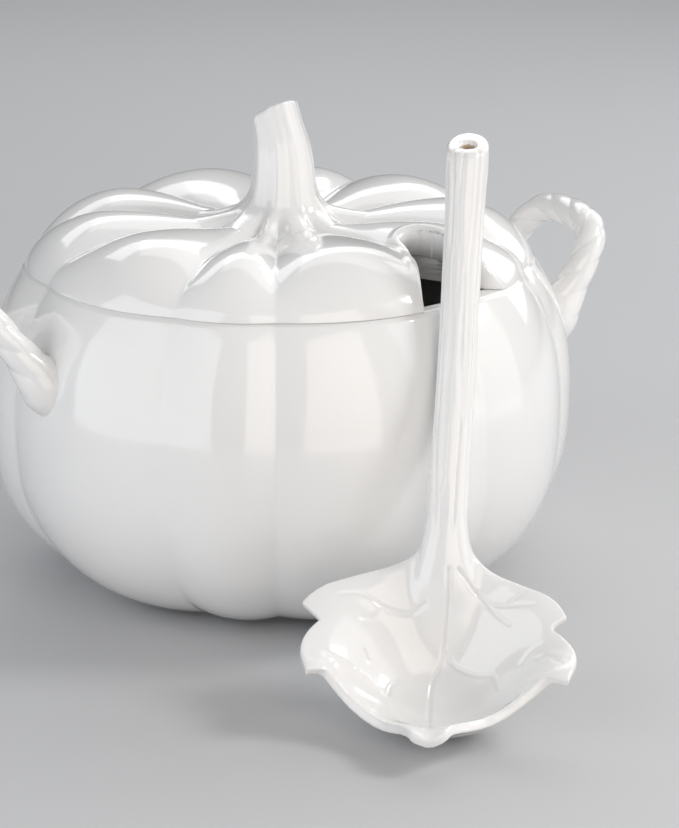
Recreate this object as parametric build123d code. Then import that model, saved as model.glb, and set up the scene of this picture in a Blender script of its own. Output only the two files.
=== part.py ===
from build123d import *

import math
import os

# Glazed earthenware soup tureen shaped like a pumpkin, with a lid, two loop handles and a ladle.
# Millimetres, +Z up. The origin is on the table under the middle of the foot ring, and the loop
# handles lie along X. Headings in degrees are measured from -Y towards +X.

# --- bowl -------------------------------------------------------------------------------------
BELLY_RADIUS = 150.0
BELLY_HEIGHT = 96.0
SEAM_HEIGHT = 166.0
SEAM_RADIUS = 129.0
MOUTH_RADIUS = 119.0
BOWL_WALL = 7.0
BOWL_FLOOR = 9.0
BODY_START = 2.5
LOWER_REACH, LOWER_POWER = 104.8, 2.69
UPPER_REACH, UPPER_POWER = 124.4, 2.2
FOOT_OUTER, FOOT_INNER, FOOT_HEIGHT = 78.0, 68.0, 6.0

# --- the ten lobes, shared by the bowl and the lid ---------------------------------------------
GROOVE_HEADINGS = [-87.0, -47.0, -25.0, 18.0, 51.0, 88.5, 131.0, 160.0, 206.0, 240.0]
LOBE_WIDTH = 37.5
GROOVE_DEPTH = 3.4
LOW_GROOVE_EXTRA, LOW_GROOVE_FROM = 4.0, 70.0
LOBE_FULLNESS = 2.4
STEPS_PER_LOBE = 4
CORE_RADIUS = 24.0

# --- lid --------------------------------------------------------------------------------------
LID_GAP = 0.3
LID_CREST = [(129.0, 0.0), (126.3, 5.5), (119.0, 14.0), (108.0, 21.2), (94.0, 25.8), (78.0, 26.3),
             (62.0, 24.6), (48.0, 22.2), (36.0, 20.6), (24.0, 19.6)]
LID_GROOVE = [(126.0, 0.0), (123.4, 4.5), (116.5, 9.8), (106.0, 14.2), (93.0, 17.6), (77.0, 18.6),
              (61.0, 17.6), (47.0, 16.0), (35.0, 15.2), (24.0, 15.2)]
LID_WALL = 6.0
LID_LANDING = 113.5
FLANGE_OUTER, FLANGE_INNER = 117.0, 112.0
FLANGE_DROP, FLANGE_RISE = 7.0, 7.5

# --- ladle notch in the lid's edge ---------------------------------------------------------------
NOTCH_HEADING = 21.0
NOTCH_EDGE = [(134.0, -35.0), (125.0, -29.5), (117.5, -24.5), (102.5, -13.5), (88.5, -3.0), (81.0, 1.5),
              (79.5, 6.5), (83.0, 11.5), (92.5, 15.3), (105.0, 17.8), (117.5, 20.6), (124.5, 25.0),
              (133.0, 34.0)]

# --- stem knob ------------------------------------------------------------------------------------
STEM_SECTIONS = [(14.5, 3.0, 32.0), (19.5, 3.2, 25.5), (26.5, 3.6, 19.8), (36.0, 3.6, 17.0),
                 (47.0, 3.6, 15.0), (58.0, 2.6, 13.0), (68.0, 0.0, 11.2), (84.0, -6.0, 10.5)]
STEM_LEAN_HEADING = 114.0
STEM_TOP = 75.5
STEM_CUT_HEADING, STEM_CUT_SLOPE = 24.0, 27.0

# --- side loop handles ---------------------------------------------------------------------------
LOOP_ROOT_RADIUS = 147.0
LOOP_ROOT_HEIGHT = 129.5
LOOP_TILT = 55.0
LOOP_PATH = [(38.5, -15.0, 10.5), (38.5, -6.0, 12.4), (38.3, 3.0, 11.2), (37.8, 12.5, 8.8),
             (36.4, 25.5, 7.5), (33.8, 35.0, 7.4), (29.6, 42.5, 7.4), (22.5, 47.5, 7.6), (12.0, 49.8, 7.7),
             (0.0, 50.3, 7.7)]

# --- ladle: u across, v towards the handle, w up out of the leaf ---------------------------------
LADLE_PLACE = (-25.1, -223.4)
LADLE_HEADING = 32.2
LEAF_TILT = 26.9
LEAF_DEPTH = 33.0
LEAF_WALL = 4.5
LEAF_HALF_WIDTH, LEAF_HALF_BACK, LEAF_HALF_FRONT = 50.0, 46.0, 37.0
DISH_SHARPNESS, DISH_POWER = 1.22, 3.2
NECK_START, NECK_RISE = 36.0, 0.014
SHEET_HALF_WIDTH, SHEET_FRONT, SHEET_BACK = 66.0, -54.0, 70.0
SHEET_STEPS = 18
LOBE_BACK = [(9.5, 64.0), (13.0, 56.5), (23.0, 50.0), (40.0, 42.5), (52.0, 36.5), (59.0, 29.0)]
LOBE_FRONT = [(51.5, 21.0), (58.0, 15.0), (61.5, 4.0), (58.0, -11.0)]
LEAF_TIP = [(50.0, -10.0), (40.0, -17.5), (29.0, -25.0), (20.0, -32.0), (11.0, -38.5), (0.0, -48.0)]
HANDLE_SLOPE = 34.0
HANDLE_START = 44.0
HANDLE_SECTIONS = [(6.0, 12.5, 5.0), (14.0, 11.0, 6.5), (25.0, 9.3, 7.8), (45.0, 8.3, 8.3),
                   (110.0, 9.0, 9.0), (170.0, 9.9, 9.9), (193.0, 10.4, 10.4), (203.0, 9.7, 9.7),
                   (209.0, 6.5, 6.5)]
HANDLE_BORE_RADIUS, BORE_START, BORE_END = 4.5, 40.0, 200.0
VENT_RADIUS, VENT_SLOPE, VENT_LENGTH = 3.6, 22.0, 24.0


def at(radius, heading, height):
    """Point at a radius and heading about the tureen's axis."""
    turn = math.radians(heading)
    return Vector(radius * math.sin(turn), -radius * math.cos(turn), height)


def belly(height):
    """Radius of the bowl's lobe crests at a height."""
    if height < BELLY_HEIGHT:
        share = (BELLY_HEIGHT - height) / LOWER_REACH
        return BELLY_RADIUS * (1 - share**LOWER_POWER) ** (1 / LOWER_POWER)
    share = (height - BELLY_HEIGHT) / UPPER_REACH
    return BELLY_RADIUS * (1 - share**UPPER_POWER) ** (1 / UPPER_POWER)


def groove_radius(height):
    """Radius of the bowl's grooves at a height; they deepen towards the foot."""
    low_share = max(0.0, LOW_GROOVE_FROM - height) / LOW_GROOVE_FROM
    return belly(height) - GROOVE_DEPTH - LOW_GROOVE_EXTRA * low_share


def lobes():
    """First heading and width of each lobe."""
    ends = GROOVE_HEADINGS[1:] + [GROOVE_HEADINGS[0] + 360.0]
    return [(start, end - start) for start, end in zip(GROOVE_HEADINGS, ends)]


def section(heading, outer, rest):
    """Closed meridian section: a spline along outer, then straight lines through rest."""
    curve = [at(radius, heading, height) for radius, height in outer]
    corners = [curve[-1]] + [at(radius, heading, height) for radius, height in rest] + [curve[0]]
    edges = [Spline(*curve).edge()]
    edges += [Line(a, b).edge() for a, b in zip(corners, corners[1:])]
    return Wire(edges)


def lobed_solid(groove, crest, rest):
    """Ring of lobes: each is a loft from groove over crest to the next groove."""
    wedges = []
    for start, width in lobes():
        height_share = min(1.0, math.sqrt(width / LOBE_WIDTH))
        wires = []
        for step in range(STEPS_PER_LOBE + 1):
            along = step / STEPS_PER_LOBE
            swell = height_share * (1 - abs(2 * along - 1) ** LOBE_FULLNESS)
            outer = [
                (r0 + (r1 - r0) * swell, z0 + (z1 - z0) * swell)
                for (r0, z0), (r1, z1) in zip(groove, crest)
            ]
            wires.append(section(start + width * along, outer, rest))
        wedges.append(Solid.make_loft(wires))
    return wedges[0].fuse(*wedges[1:])


def ring(outer, inner, low, high):
    """Plain upright ring, or a disc where inner is 0."""
    disc = Pos(0, 0, low) * Cylinder(outer, high - low, align=(Align.CENTER, Align.CENTER, Align.MIN))
    if inner == 0:
        return disc
    return disc - Pos(0, 0, low) * Cylinder(inner, high - low, align=(Align.CENTER, Align.CENTER, Align.MIN))


def turned(points):
    """Body of revolution whose half section runs through points as a spline and back to the axis."""
    curve = Spline(*[(radius, 0, height) for radius, height in points])
    (_, low), (_, high) = points[0], points[-1]
    sides = [Line(curve @ 1, (0, 0, high)), Line((0, 0, high), (0, 0, low)), Line((0, 0, low), curve @ 0)]
    return revolve(make_face(curve + sides), Axis.Z)


def make_bowl_block():
    """Bowl's outer shape, still solid inside."""
    heights = [BODY_START + (SEAM_HEIGHT - BODY_START) * step / 8 for step in range(9)]
    crest = [(belly(height), height) for height in heights]
    groove = [(groove_radius(height), height) for height in heights]
    crest[-1] = (SEAM_RADIUS, SEAM_HEIGHT)
    groove[-1] = (LID_GROOVE[0][0], SEAM_HEIGHT)
    block = lobed_solid(groove, crest, [(CORE_RADIUS, SEAM_HEIGHT), (CORE_RADIUS, BODY_START)])
    return block + ring(CORE_RADIUS + 1, 0, BODY_START, SEAM_HEIGHT)


def make_bowl(block):
    """Bowl with its cavity and foot ring."""
    inside = [(0.45 * (belly(BOWL_FLOOR) - BOWL_WALL), BOWL_FLOOR)]
    for share in (0.05, 0.15, 0.3, 0.45, 0.6, 0.8):
        height = BOWL_FLOOR + (SEAM_HEIGHT - BOWL_FLOOR) * share
        inside.append((groove_radius(height) - BOWL_WALL, height))
    inside.append((MOUTH_RADIUS, SEAM_HEIGHT - 6))
    inside.append((MOUTH_RADIUS, SEAM_HEIGHT + 1))
    foot = ring(FOOT_OUTER, FOOT_INNER, 0, FOOT_HEIGHT)
    return block + foot - turned(inside)


def make_lid():
    """Lid shell with its locating flange and the ladle notch, and the same lid without hollow."""
    base = SEAM_HEIGHT + LID_GAP
    crest = [(radius, base + rise) for radius, rise in LID_CREST]
    groove = [(radius, base + rise) for radius, rise in LID_GROOVE]
    block = lobed_solid(groove, crest, [(CORE_RADIUS, base), (crest[0][0] - LID_WALL, base)])
    block += ring(CORE_RADIUS + 1, 0, base, groove[-1][1] + 0.5)
    dome = [(LID_LANDING, base - 1), (LID_LANDING, base + FLANGE_RISE)]
    dome += [(radius - 2, base + rise - LID_WALL) for radius, rise in LID_GROOVE[3:]]
    shell = block - turned(dome)
    shell += ring(FLANGE_OUTER, FLANGE_INNER, base - FLANGE_DROP, base + FLANGE_RISE)
    curve = Spline(*NOTCH_EDGE)
    outline = make_face(curve + Line(curve @ 1, curve @ 0))
    tool = Pos(0, 0, base - 20) * extrude(outline, 80)
    notch = Rot(Z=NOTCH_HEADING - 90) * tool
    return shell - notch, block


def make_stem(lid_block):
    """Leaning stem, cut off on a slope, luted onto the lid's middle."""
    base = SEAM_HEIGHT + LID_GAP
    wires = []
    for rise, lean, radius in STEM_SECTIONS:
        centre = at(lean, STEM_LEAN_HEADING, base + rise)
        wires.append(Wire.make_circle(radius, Plane(centre, z_dir=(0, 0, 1))))
    stem = Solid.make_loft(wires)
    top = Pos(0, 0, base + STEM_TOP) * Rot(Z=STEM_CUT_HEADING - 90) * Rot(Y=-STEM_CUT_SLOPE)
    stem -= top * Box(90, 90, 40, align=(Align.CENTER, Align.CENTER, Align.MIN))
    return stem - lid_block


def make_loop(bowl_block, side):
    """Tilted loop handle luted to the bowl; side is +1 on +X and -1 on -X."""
    half_gap = LOOP_PATH[0][0]
    root = Vector(side * math.sqrt(LOOP_ROOT_RADIUS**2 - half_gap**2), 0, LOOP_ROOT_HEIGHT)
    tilt = math.radians(LOOP_TILT)
    outward = Vector(side * math.cos(tilt), 0, math.sin(tilt))
    along = Vector(0, 1, 0)
    stations = LOOP_PATH + [(-across, out, radius) for across, out, radius in LOOP_PATH[-2::-1]]
    centres = [root + along * across + outward * out for across, out, _ in stations]
    spine = Spline(*centres)
    wires = []
    for centre, (_, _, radius) in zip(centres, stations):
        tangent = spine.tangent_at(spine.param_at_point(centre))
        frame = Plane(centre, x_dir=outward.cross(along), z_dir=tangent)
        wires.append(Wire.make_circle(radius, frame))
    pieces = (Solid.make_loft(wires) - bowl_block).solids()
    return max(pieces, key=lambda piece: piece.volume)


def leaf_height(across, along):
    """Height of the scoop's inner surface over the leaf plane."""
    half_length = LEAF_HALF_BACK if along > 0 else LEAF_HALF_FRONT
    reach = math.hypot(across / LEAF_HALF_WIDTH, along / half_length) * DISH_SHARPNESS
    dish = -LEAF_DEPTH * math.exp(-(reach**DISH_POWER))
    return dish + NECK_RISE * max(0.0, along - NECK_START) ** 2


def make_scoop():
    """Leaf-shaped scoop: a dished sheet trimmed to the lobed outline, in the ladle's own frame."""
    rows = []
    for i in range(SHEET_STEPS + 1):
        across = SHEET_HALF_WIDTH * (2 * i / SHEET_STEPS - 1)
        row = []
        for j in range(SHEET_STEPS + 1):
            along = SHEET_FRONT + (SHEET_BACK - SHEET_FRONT) * j / SHEET_STEPS
            row.append(Vector(across, along, leaf_height(across, along)))
        rows.append(row)
    sheet = Face.make_surface_from_array_of_points(rows)
    shell = Solid.thicken(sheet, LEAF_WALL, normal_override=(0, 0, -1))
    right = [Spline(*LOBE_BACK), Line(LOBE_BACK[-1], LOBE_FRONT[0])]
    right += [Spline(*LOBE_FRONT), Line(LOBE_FRONT[-1], LEAF_TIP[0]), Spline(*LEAF_TIP)]
    left = [mirror(curve, Plane.YZ) for curve in right]
    back = Line(LOBE_BACK[0], (-LOBE_BACK[0][0], LOBE_BACK[0][1]))
    outline = make_face(Curve() + right + left + back)
    return shell & Pos(0, 0, -80) * extrude(outline, 160)


def make_ladle_handle(scoop):
    """Hollow stem of the ladle with its vent hole, in the ladle's own frame."""
    axis = Plane((0, HANDLE_START, 0), x_dir=(1, 0, 0), z_dir=Vector(0, 1, 0).rotate(Axis.X, HANDLE_SLOPE))
    wires = []
    for distance, half_width, half_height in HANDLE_SECTIONS:
        if half_width == half_height:
            wires.append(Wire.make_circle(half_width, axis.offset(distance)))
        else:
            wires.append(Wire.make_ellipse(half_width, half_height, axis.offset(distance)))
    stem = Solid.make_loft(wires)
    bore = axis.offset(BORE_START) * Cylinder(
        HANDLE_BORE_RADIUS, BORE_END - BORE_START, align=(Align.CENTER, Align.CENTER, Align.MIN))
    vent_start = axis.offset(BORE_END - HANDLE_BORE_RADIUS).origin
    vent_axis = Plane(vent_start, z_dir=Vector(0, 0, 1).rotate(Axis.X, VENT_SLOPE - HANDLE_SLOPE))
    vent = vent_axis * Cylinder(VENT_RADIUS, VENT_LENGTH, align=(Align.CENTER, Align.CENTER, Align.MIN))
    return stem - bore - vent - scoop


def main():
    os.makedirs("parts", exist_ok=True)
    bowl_block = make_bowl_block()
    bowl = make_bowl(bowl_block)
    lid, lid_block = make_lid()
    scoop = make_scoop()
    ladle_handle = make_ladle_handle(scoop)
    turn = Rot(Z=-LADLE_HEADING) * Rot(X=LEAF_TILT)
    lowest = (turn * scoop).bounding_box().min.Z
    place = Pos(LADLE_PLACE[0], LADLE_PLACE[1], -lowest) * turn
    nodes = {
        "bowl": bowl,
        "handle_left": make_loop(bowl_block, -1),
        "handle_right": make_loop(bowl_block, 1),
        "lid": lid,
        "lid_stem": make_stem(lid_block),
        "ladle_scoop": place * scoop,
        "ladle_handle": place * ladle_handle,
    }
    for name, shape in nodes.items():
        solids = shape.solids()
        print(name, "solids", len(solids), "lowest", round(shape.bounding_box().min.Z, 3))
        export_step(shape, f"parts/{name}.step")
    print("ladle to bowl", round(nodes["ladle_handle"].distance_to(bowl), 2), "mm")
    print("ladle to lid", round(nodes["ladle_handle"].distance_to(lid), 2), "mm")


main()
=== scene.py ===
import math

import bmesh
import bpy
import numpy as np
from mathutils import Matrix, Vector


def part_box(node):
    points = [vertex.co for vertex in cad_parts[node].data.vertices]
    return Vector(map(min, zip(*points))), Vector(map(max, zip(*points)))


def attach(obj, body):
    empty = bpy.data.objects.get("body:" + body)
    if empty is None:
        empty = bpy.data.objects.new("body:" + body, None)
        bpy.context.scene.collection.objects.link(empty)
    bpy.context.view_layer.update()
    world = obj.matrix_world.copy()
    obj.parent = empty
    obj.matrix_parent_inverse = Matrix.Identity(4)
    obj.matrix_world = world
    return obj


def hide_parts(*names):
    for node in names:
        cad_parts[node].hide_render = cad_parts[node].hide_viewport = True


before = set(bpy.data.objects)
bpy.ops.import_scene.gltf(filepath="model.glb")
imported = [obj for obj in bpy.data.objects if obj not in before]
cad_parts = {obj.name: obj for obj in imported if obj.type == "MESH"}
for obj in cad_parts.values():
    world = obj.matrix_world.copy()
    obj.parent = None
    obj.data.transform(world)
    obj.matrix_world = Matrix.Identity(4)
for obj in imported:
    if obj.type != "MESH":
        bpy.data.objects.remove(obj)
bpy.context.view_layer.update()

# Looks of a glazed white pumpkin tureen with its lid and ladle. Shapes are worked out in
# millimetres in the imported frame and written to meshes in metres. Headings in degrees are measured
# from -Y towards +X, as seen from above.

MM = 0.001

# --- sizes taken from the frame --------------------------------------------------------------
SEAM_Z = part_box("bowl")[1].z / MM
LID_GAP = 0.3
LID_Z = SEAM_Z + LID_GAP

# --- shared lobes ---------------------------------------------------------------------------
GROOVES = np.array([-87.0, -47.0, -25.0, 18.0, 51.0, 88.5, 131.0, 160.0, 206.0, 240.0])
LOBE_WIDTH = 37.5
LOBE_FULLNESS = 2.15
GROOVE_SOFTNESS = 0.022
HEADING_STEP = 0.5

# --- bowl -----------------------------------------------------------------------------------
BELLY_RADIUS, BELLY_Z = 150.0, 96.0
LOWER_REACH, LOWER_POWER = 104.8, 2.69
UPPER_REACH, UPPER_POWER = 124.4, 2.2
GROOVE_DEPTH = 3.9
LOW_GROOVE_EXTRA, LOW_GROOVE_FROM = 4.0, 70.0
MOUTH_RADIUS = 119.0
RIM_ROUND = 1.3
FOOT_OUTER, FOOT_INNER = 78.0, 68.0
UNDERSIDE_Z = 2.5
FLOOR_Z = 9.0
FLOOR_ROUND = 8.0
WALL = 10.4
RIM_INSIDE_DROP, RIM_INSIDE_BLEND, RIM_BLEND_Z = 6.0, 10.0, 150.0
BOWL_RIPPLE, LID_RIPPLE = (74.0, 0.28), (66.0, 0.25)

# --- lid ------------------------------------------------------------------------------------
LID_CREST = np.array([(129.0, 0.0), (126.3, 5.5), (119.0, 14.0), (108.0, 21.2), (94.0, 25.8),
                      (78.0, 26.3), (62.0, 24.6), (48.0, 22.2), (36.0, 20.6), (24.0, 19.6)])
LID_GROOVE = np.array([(126.0, 0.0), (123.4, 4.5), (116.5, 9.8), (106.0, 14.2), (93.0, 17.6),
                       (77.0, 18.6), (61.0, 17.6), (47.0, 16.0), (35.0, 15.2), (24.0, 15.2)])
LID_HUB = 16.0
LID_WALL = 6.0
FLANGE_OUTER, FLANGE_INNER, FLANGE_LOW_Z = 117.0, 112.0, LID_Z - 7.0
NOTCH_HEADING = 21.0
NOTCH_EDGE = np.array([(134.0, -35.0), (125.0, -29.5), (117.5, -23.5), (102.5, -10.5), (88.5, -1.5),
                       (81.0, 2.0), (79.5, 6.5), (83.0, 11.5), (92.5, 15.3), (105.0, 17.8),
                       (117.5, 20.6), (124.5, 25.0), (133.0, 34.0)])
NOTCH_ROUND = 1.8
NOTCH_LIP = 1.3


def spline(points, where):
    """Natural cubic spline through rows of points, numbered from 0, read at the numbers in where."""
    points = np.asarray(points, float)
    count = len(points)
    matrix = np.eye(count)
    right = np.zeros_like(points)
    for i in range(1, count - 1):
        matrix[i, i - 1:i + 2] = (1, 4, 1)
        right[i] = 6 * (points[i - 1] - 2 * points[i] + points[i + 1])
    bend = np.linalg.solve(matrix, right)
    where = np.asarray(where, float)
    low = np.clip(np.floor(where).astype(int), 0, count - 2)
    t = (where - low)[..., None]
    a, b, ca, cb = points[low], points[low + 1], bend[low], bend[low + 1]
    return a * (1 - t) + b * t + ((1 - t) ** 3 - (1 - t)) * ca / 6 + (t**3 - t) * cb / 6


def smooth(x):
    """0 below 0, 1 above 1 and a soft step between."""
    x = np.clip(x, 0.0, 1.0)
    return x * x * (3 - 2 * x)


def grid_faces(rows, columns):
    """Quads between rings of points, where the last column joins the first."""
    r, c = np.meshgrid(np.arange(rows - 1), np.arange(columns), indexing="ij")
    n = (c + 1) % columns
    corners = [r * columns + c, r * columns + n, (r + 1) * columns + n, (r + 1) * columns + c]
    return np.stack(corners, -1).reshape(-1, 4)


def make_object(name, points, faces):
    """Smooth-shaded mesh object from points in millimetres."""
    mesh = bpy.data.meshes.new(name)
    mesh.from_pydata((np.asarray(points) * MM).tolist(), [], [list(map(int, f)) for f in faces])
    mesh.update()
    piece = bpy.data.objects.new(name, mesh)
    bpy.context.scene.collection.objects.link(piece)
    tidy_mesh(piece)
    return piece


def tidy_mesh(piece):
    """Merges doubled points, drops empty faces, turns normals outward and shades smooth."""
    work = bmesh.new()
    work.from_mesh(piece.data)
    bmesh.ops.remove_doubles(work, verts=work.verts, dist=2e-6)
    bmesh.ops.dissolve_degenerate(work, edges=work.edges, dist=1e-7)
    bmesh.ops.recalc_face_normals(work, faces=work.faces)
    for face in work.faces:
        face.smooth = True
    work.to_mesh(piece.data)
    work.free()


def closed_rows(name, rows):
    """Closed skin from rings of points; the first and last ring are closed to their middle."""
    rings = [np.asarray(row) for row in rows]
    columns = len(rings[0])
    points = np.concatenate(rings + [rings[0].mean(0)[None], rings[-1].mean(0)[None]])
    faces = grid_faces(len(rings), columns).tolist()
    first, last = len(rings) * columns, len(rings) * columns + 1
    base = (len(rings) - 1) * columns
    for c in range(columns):
        n = (c + 1) % columns
        faces.append([first, n, c])
        faces.append([last, base + c, base + n])
    return make_object(name, points, faces)


def apply(piece):
    """Applies every modifier of a piece."""
    depsgraph = bpy.context.evaluated_depsgraph_get()
    mesh = bpy.data.meshes.new_from_object(piece.evaluated_get(depsgraph))
    old = piece.data
    piece.modifiers.clear()
    piece.data = mesh
    bpy.data.meshes.remove(old)
    for polygon in mesh.polygons:
        polygon.use_smooth = True
    return piece


def coords(piece):
    """Points of a piece in millimetres."""
    flat = np.empty(len(piece.data.vertices) * 3)
    piece.data.vertices.foreach_get("co", flat)
    return flat.reshape(-1, 3) / MM


def set_coords(piece, points):
    """Moves the points of a piece to places in millimetres."""
    piece.data.vertices.foreach_set("co", (np.asarray(points) * MM).ravel())
    piece.data.update()


def normals(piece):
    """Outward direction at every point of a piece."""
    flat = np.empty(len(piece.data.vertices) * 3)
    piece.data.vertex_normals.foreach_get("vector", flat)
    return flat.reshape(-1, 3)


def ripple(points, wave, height):
    """Slow unevenness of a hand-finished casting: a few crossed waves, the same every run."""
    x, y, z = (points / wave * 2 * math.pi).T
    total = np.sin(x + 1.7 * np.sin(0.6 * y + 0.4)) + np.sin(0.9 * y + 1.3 * np.sin(0.7 * z + 1.1))
    total += np.sin(1.1 * z + 1.5 * np.sin(0.5 * x + 2.0)) + 0.5 * np.sin(1.9 * x - 1.4 * y + 0.8 * z)
    return height * total / 3.5


# --- lobes ----------------------------------------------------------------------------------

def lobe_swell(headings):
    """0 in a groove and 1 on a crest, with softened grooves; narrow lobes swell less."""
    headings = np.asarray(headings, float)
    start = np.append(GROOVES, GROOVES[0] + 360.0)
    turned = (headings - GROOVES[0]) % 360.0 + GROOVES[0]
    index = np.clip(np.searchsorted(start, turned, side="right") - 1, 0, len(GROOVES) - 1)
    width = start[index + 1] - start[index]
    away = np.minimum(turned - start[index], start[index + 1] - turned) / (width / 2)
    softness = GROOVE_SOFTNESS * LOBE_WIDTH / width
    away = np.sqrt(away**2 + softness**2) - softness
    swell = 1 - (1 - np.clip(away, 0, 1)) ** LOBE_FULLNESS
    return swell * np.minimum(1.0, np.sqrt(width / LOBE_WIDTH))


def belly(z):
    """Radius of the bowl's lobe crests at a height."""
    z = np.asarray(z, float)
    lower = 1 - np.clip((BELLY_Z - z) / LOWER_REACH, 0, 1) ** LOWER_POWER
    upper = 1 - np.clip((z - BELLY_Z) / UPPER_REACH, 0, 1) ** UPPER_POWER
    return BELLY_RADIUS * np.where(z < BELLY_Z, lower ** (1 / LOWER_POWER), upper ** (1 / UPPER_POWER))


def around(radius, headings, z):
    """Points at radii and headings about the tureen's axis."""
    turn = np.radians(headings)
    radius, turn, z = np.broadcast_arrays(radius, turn, z)
    return np.stack([radius * np.sin(turn), -radius * np.cos(turn), z], -1)


# --- bowl -----------------------------------------------------------------------------------

def foot_profile():
    """Radius, height and share of lobing from the middle of the underside out to the lowest lobes."""
    return [(20.0, UNDERSIDE_Z, 0), (FOOT_INNER - 3, UNDERSIDE_Z, 0),
            (FOOT_INNER - 0.8, UNDERSIDE_Z - 0.3, 0), (FOOT_INNER, 1.2, 0),
            (FOOT_INNER + 0.6, 0.3, 0), (FOOT_INNER + 1.6, 0.0, 0),
            (FOOT_OUTER - 1.6, 0.0, 0), (FOOT_OUTER - 0.5, 0.35, 0), (FOOT_OUTER, 1.3, 0),
            (FOOT_OUTER + 0.6, 2.1, 0.1), (FOOT_OUTER + 2.0, 2.4, 0.2), (FOOT_OUTER + 6.0, 2.5, 0.6),
            (float(belly(2.8)) - 2.0, 2.6, 1.0)]


def outer_profile():
    """Outside of the bowl, from the lowest lobes over the rounded rim to the mouth."""
    profile = []
    for z in np.concatenate([np.linspace(3.0, 30.0, 34), np.linspace(31.0, SEAM_Z - RIM_ROUND, 110)]):
        profile.append((float(belly(z)), float(z), 1.0))
    edge = float(belly(SEAM_Z)) - RIM_ROUND
    for turn in np.radians([20, 40, 60, 80, 90]):
        rise = RIM_ROUND * math.sin(turn)
        profile.append((edge + RIM_ROUND * math.cos(turn), SEAM_Z - RIM_ROUND + rise, 1.0))
    profile.append((edge + RIM_ROUND - 4.5, SEAM_Z, 0.6))
    profile.append((MOUTH_RADIUS + 1.5, SEAM_Z, 0.1))
    return profile


def inner_profile():
    """Inside of the bowl, from the mouth's rounded edge down the wall and across the floor."""
    profile = []
    lip = 1.2
    for turn in np.radians([90, 65, 40, 20, 0]):
        profile.append((MOUTH_RADIUS + lip - lip * math.cos(turn), SEAM_Z - lip + lip * math.sin(turn), 0))
    for z in np.linspace(SEAM_Z - RIM_INSIDE_DROP, FLOOR_Z + FLOOR_ROUND, 60):
        inner = float(belly(z)) - WALL
        if z > RIM_BLEND_Z:
            blend = float(smooth((SEAM_Z - RIM_INSIDE_DROP - z) / RIM_INSIDE_BLEND))
            inner = MOUTH_RADIUS + (float(belly(RIM_BLEND_Z)) - WALL - MOUTH_RADIUS) * blend
        profile.append((inner, float(z), 0))
    last = profile[-1][0]
    for share in np.linspace(0.05, 1.0, 14):
        profile.append((last * (1 - share) + 4 * share, FLOOR_Z + FLOOR_ROUND * (1 - share) ** 2.4, 0))
    return profile


def make_bowl():
    """Lobed bowl: underside, foot ring, outside, rounded rim, inside and floor, as one skin."""
    headings = np.arange(0, 360, HEADING_STEP)
    swell = lobe_swell(headings)
    rows = []
    for radius, z, lobing in foot_profile() + outer_profile() + inner_profile():
        depth = GROOVE_DEPTH + LOW_GROOVE_EXTRA * max(0.0, 1 - z / LOW_GROOVE_FROM) ** 1.3
        rows.append(around(radius - lobing * depth * (1 - swell), headings, np.full(len(headings), z)))
    bowl = closed_rows("bowl_glazed", rows)
    points = coords(bowl)
    away_from_axis = np.hypot(points[:, 0], points[:, 1]) > 90
    fade = smooth((points[:, 2] - 6) / 20) * smooth((SEAM_Z - 2 - points[:, 2]) / 12) * away_from_axis
    points += normals(bowl) * (ripple(points, *BOWL_RIPPLE) * fade)[:, None]
    set_coords(bowl, points)
    return bowl


# --- lid ------------------------------------------------------------------------------------

def lid_top(number, swell):
    """Radius and height of the lid's outside at a place on the meridian, 0 at the rim and 9 at the hub."""
    groove, crest = spline(LID_GROOVE, number), spline(LID_CREST, number)
    mixed = groove + (crest - groove) * np.asarray(swell)[..., None]
    return mixed[..., 0], mixed[..., 1] + LID_Z


def notch_line():
    """Heading offsets from the notch's middle, rising, and the radii where it cuts the lid."""
    along, aside = spline(NOTCH_EDGE, np.linspace(0, len(NOTCH_EDGE) - 1, 240)).T
    return np.maximum.accumulate(np.degrees(np.arctan2(aside, along))), np.hypot(along, aside)


def notch_radius(headings):
    """Radius at which the notch cuts the lid, for headings inside it; elsewhere more than the rim."""
    offset, reach = notch_line()
    away = (np.asarray(headings) - NOTCH_HEADING + 180) % 360 - 180
    return np.interp(away, offset, reach, left=200.0, right=200.0)


def notch_distance(points):
    """Plan distance of points from the notch's edge."""
    offset, reach = notch_line()
    line = around(reach, NOTCH_HEADING + offset, np.zeros(len(reach)))[:, :2]
    distance = np.full(len(points), 99.0)
    near = np.hypot(*(points[:, :2] - around(108.0, NOTCH_HEADING, 0.0)[:2]).T) < 60
    gaps = points[near][:, None, :2] - line[None]
    distance[near] = np.sqrt((gaps**2).sum(-1)).min(1)
    return distance


def dome_z(radius):
    """Height of the lid's underside over a radius."""
    inner = LID_GROOVE[3:][::-1]
    return np.interp(radius, inner[:, 0] - 2, inner[:, 1] + LID_Z - LID_WALL)


def lid_top_rows(headings, swell, cut):
    """Rings of the lid's outside from the hub out to the rim, or to the notch where it cuts the lid."""
    last = len(LID_CREST) - 1
    fine = np.linspace(0, last, 500)
    radii, _ = lid_top(fine[:, None], np.broadcast_to(swell, (len(fine), len(swell))))
    start = np.zeros(len(headings))
    for c in np.nonzero(cut < radii[0])[0]:
        start[c] = np.interp(-cut[c], -radii[:, c], fine)
    rows = []
    radius, height = lid_top(np.full(len(headings), float(last)), swell)
    for share in (0.12, 0.35, 0.6, 0.8):
        rows.append(around(radius * share, headings, height * share + (1 - share) * (LID_Z + LID_HUB)))
    for share in np.concatenate([1 - np.linspace(0, 1, 110) ** 1.15 * 0.985, [0.01, 0.006, 0.003, 0.0]]):
        radius, height = lid_top(start + (last - start) * share, swell)
        rows.append(around(radius, headings, height))
    return rows, radii[0]


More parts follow.
